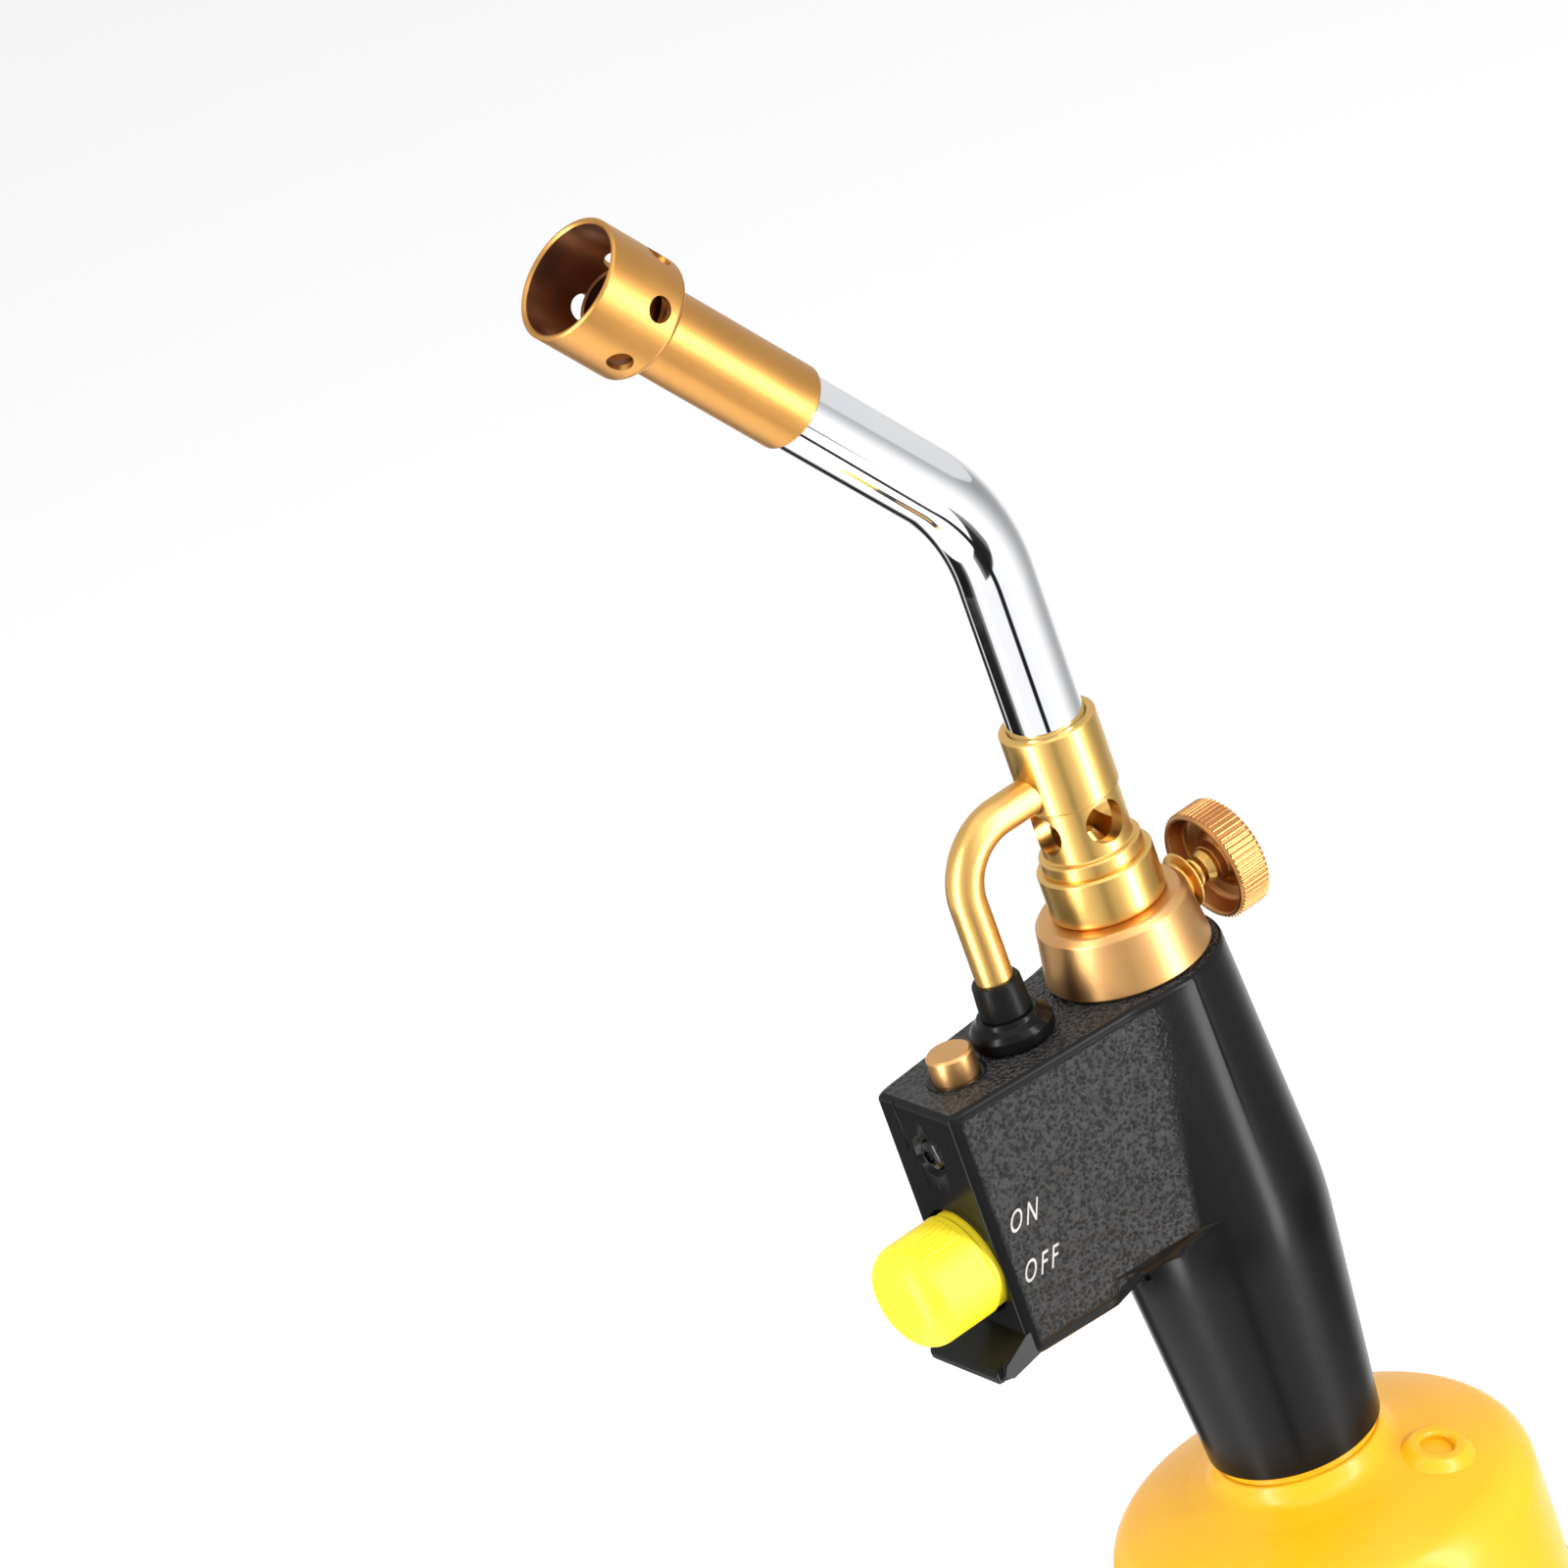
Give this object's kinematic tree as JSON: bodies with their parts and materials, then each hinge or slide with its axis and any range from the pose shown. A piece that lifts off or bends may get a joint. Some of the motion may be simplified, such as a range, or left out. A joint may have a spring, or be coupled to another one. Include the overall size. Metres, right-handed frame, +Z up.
{
  "type": "trigger-start propane torch",
  "caption": "Hand torch on an upright gas cylinder: cast body with trigger and lock, brass regulator and mixer, bent burner tube ending in a cupped nozzle.",
  "frame": {"origin": "centre of the gas cylinder's foot, on the floor", "axes": "+Z up along the cylinder's axis, +X towards the side the trigger and the flame face, +Y to the side that is on the left hand of someone facing +X"},
  "size_m": [0.1027, 0.0766, 0.5271],
  "materials": {
    "cylinder_paint": "gloss",
    "label": "satin printed film",
    "brass": "satin",
    "pink_brass": "satin bead-blasted",
    "steel": "bright",
    "chrome": "polished",
    "rubber": "matt",
    "casting": "black powder coat with a wrinkle on the flat faces",
    "black_plastic": "satin",
    "yellow_plastic": "satin",
    "pale_plastic": "matt",
    "lead": "matt silicone",
    "ceramic": "glazed"
  },
  "bodies": {
    "cylinder": {"gas_cylinder": "cylinder_paint", "foot_ring": "casting", "cylinder_label": "label", "cylinder_neck": "brass", "cylinder_valve_core": "steel", "relief_boss": "cylinder_paint", "relief_valve": "steel"},
    "seal": {"inlet_seal": "rubber"},
    "head": {"body_casting": "casting", "front_plate": "casting", "plate_screw": "steel", "inlet_socket": "brass", "pin_depressor": "steel", "inlet_filter": "brass", "valve_block": "brass", "feed_pipe": "brass", "outlet_block": "brass", "housing_gasket": "rubber", "regulator_housing": "pink_brass", "needle_gland": "brass", "jet_collar": "brass", "gas_jet": "brass", "air_mixer": "brass", "tube_socket": "brass", "burner_tube": "chrome", "conduit_tube": "brass", "conduit_boot": "rubber", "boot_nut": "black_plastic", "igniter_lead": "lead", "electrode_insulator": "ceramic", "spark_electrode": "steel", "igniter_housing": "pale_plastic", "trigger_guide": "black_plastic", "lock_bush": "black_plastic"},
    "selector": {"selector_collar": "pale_plastic"},
    "trigger": {"trigger_cap": "yellow_plastic", "trigger_stem": "steel", "trigger_spring": "steel"},
    "carriage": {"latch_carriage": "pale_plastic", "igniter_plunger": "pale_plastic", "gas_valve_stem": "steel"},
    "lock": {"lock_button": "pink_brass", "lock_pin": "steel", "lock_spring": "steel"},
    "knob": {"regulator_knob": "brass", "regulator_stem": "brass", "knob_screw": "steel"},
    "needle": {"regulator_needle": "steel"},
    "nozzle": {"nozzle_barrel": "brass", "nozzle_cup": "brass", "flame_holder": "brass"}
  },
  "joints": [
    {"name": "head_turn", "type": "hinge", "parent": "cylinder", "child": "seal", "pos_m": [0, 0, 0.276], "axis": [0, 0, 1], "range_deg": [0, 2880]},
    {"name": "head_lift", "type": "slide", "parent": "seal", "child": "head", "axis": [0, 0, 1], "range_m": [0, 0.01016]},
    {"name": "selector_turn", "type": "hinge", "parent": "head", "child": "selector", "pos_m": [0.0364, 0, 0.3306], "axis": [1, 0, 0], "range_deg": [0, 40]},
    {"name": "trigger_press", "type": "slide", "parent": "selector", "child": "trigger", "axis": [-1, 0, 0], "range_m": [0, 0.006], "stiffness_N_per_m": 900, "springref_m": -0.004, "deforming": ["trigger_spring"]},
    {"name": "carriage_slide", "type": "slide", "parent": "head", "child": "carriage", "axis": [-1, 0, 0], "range_m": [0, 0.006]},
    {"name": "lock_press", "type": "slide", "parent": "head", "child": "lock", "axis": [0, 0, -1], "range_m": [0, 0.003], "stiffness_N_per_m": 600, "springref_m": -0.002, "deforming": ["lock_spring"]},
    {"name": "knob_turn", "type": "hinge", "parent": "head", "child": "knob", "pos_m": [-0.02, 0, 0.368], "axis": [-1, 0, 0], "range_deg": [0, 540]},
    {"name": "needle_slide", "type": "slide", "parent": "head", "child": "needle", "axis": [-1, 0, 0], "range_m": [0, 0.00105]},
    {"name": "nozzle_pull", "type": "slide", "parent": "head", "child": "nozzle", "axis": [0.6032, 0, 0.7976], "range_m": [0, 0.02]}
  ],
  "couplings": [
    {"joint": "head_lift", "follows": "head_turn", "m_per_rad": 0.00020213},
    {"joint": "carriage_slide", "follows": "trigger_press", "ratio": 1},
    {"joint": "needle_slide", "follows": "knob_turn", "m_per_rad": 0.00011141}
  ]
}
